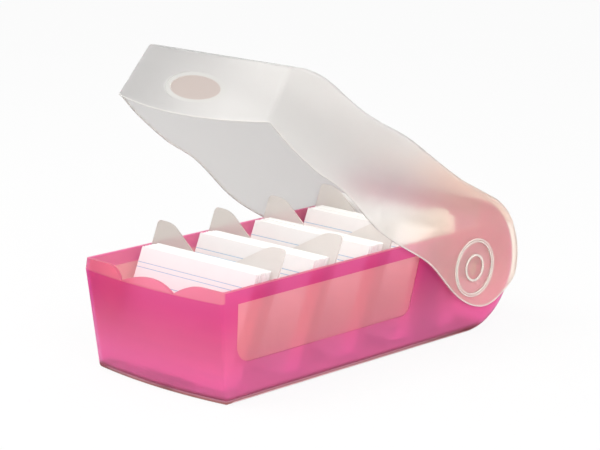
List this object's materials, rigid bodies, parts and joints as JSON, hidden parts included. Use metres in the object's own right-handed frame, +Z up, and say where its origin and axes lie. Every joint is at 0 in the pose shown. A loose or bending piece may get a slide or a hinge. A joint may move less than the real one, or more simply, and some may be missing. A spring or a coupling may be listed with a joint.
{
  "type": "card index box",
  "caption": "Desk box for index cards: a deep tray with a round rear end, a frosted lid that rolls up over it, leaning dividers and packs of cards.",
  "frame": {"origin": "centre of the tray's flat underside", "axes": "+Z up, +Y from the low front to the hinge at the rear, +X across the box to the right seen from the front"},
  "size_m": [0.137, 0.2878, 0.2043],
  "materials": {
    "tray": "satin",
    "frosted": "satin",
    "card": "matte"
  },
  "bodies": {
    "tray": {"tray": "tray"},
    "lid": {"lid": "frosted"},
    "divider_1": {"divider_1": "frosted"},
    "divider_2": {"divider_2": "frosted"},
    "divider_3": {"divider_3": "frosted"},
    "divider_4": {"divider_4": "frosted"},
    "pack_1": {"card_pack_1": "card", "ruled_card_1": "card"},
    "pack_2": {"card_pack_2": "card", "ruled_card_2": "card"},
    "pack_3": {"card_pack_3": "card", "ruled_card_3": "card"},
    "pack_4": {"card_pack_4": "card", "ruled_card_4": "card"},
    "spare": {"spare_cards": "card"}
  },
  "joints": [
    {"name": "lid_hinge", "type": "hinge", "parent": "tray", "child": "lid", "pos_m": [0, 0.11375, 0.046], "axis": [-1, 0, 0], "range_deg": [-27, 60]},
    {"name": "divider_lift_1", "type": "slide", "parent": "tray", "child": "divider_1", "axis": [0, 0.3907, 0.9205], "range_m": [0, 0.015]},
    {"name": "divider_lift_2", "type": "slide", "parent": "tray", "child": "divider_2", "axis": [0, 0.3907, 0.9205], "range_m": [0, 0.015]},
    {"name": "divider_lift_3", "type": "slide", "parent": "tray", "child": "divider_3", "axis": [0, 0.3907, 0.9205], "range_m": [0, 0.015]},
    {"name": "divider_lift_4", "type": "slide", "parent": "tray", "child": "divider_4", "axis": [0, 0.3907, 0.9205], "range_m": [0, 0.015]},
    {"name": "pack_lift_1", "type": "slide", "parent": "tray", "child": "pack_1", "axis": [0, 0.3907, 0.9205], "range_m": [0, 0.03]},
    {"name": "pack_lift_2", "type": "slide", "parent": "tray", "child": "pack_2", "axis": [0, 0.3907, 0.9205], "range_m": [0, 0.03]},
    {"name": "pack_lift_3", "type": "slide", "parent": "tray", "child": "pack_3", "axis": [0, 0.3907, 0.9205], "range_m": [0, 0.03]},
    {"name": "pack_lift_4", "type": "slide", "parent": "tray", "child": "pack_4", "axis": [0, 0.3907, 0.9205], "range_m": [0, 0.03]},
    {"name": "spare_lift", "type": "slide", "parent": "tray", "child": "spare", "axis": [0, 0.3907, 0.9205], "range_m": [0, 0.015]}
  ]
}
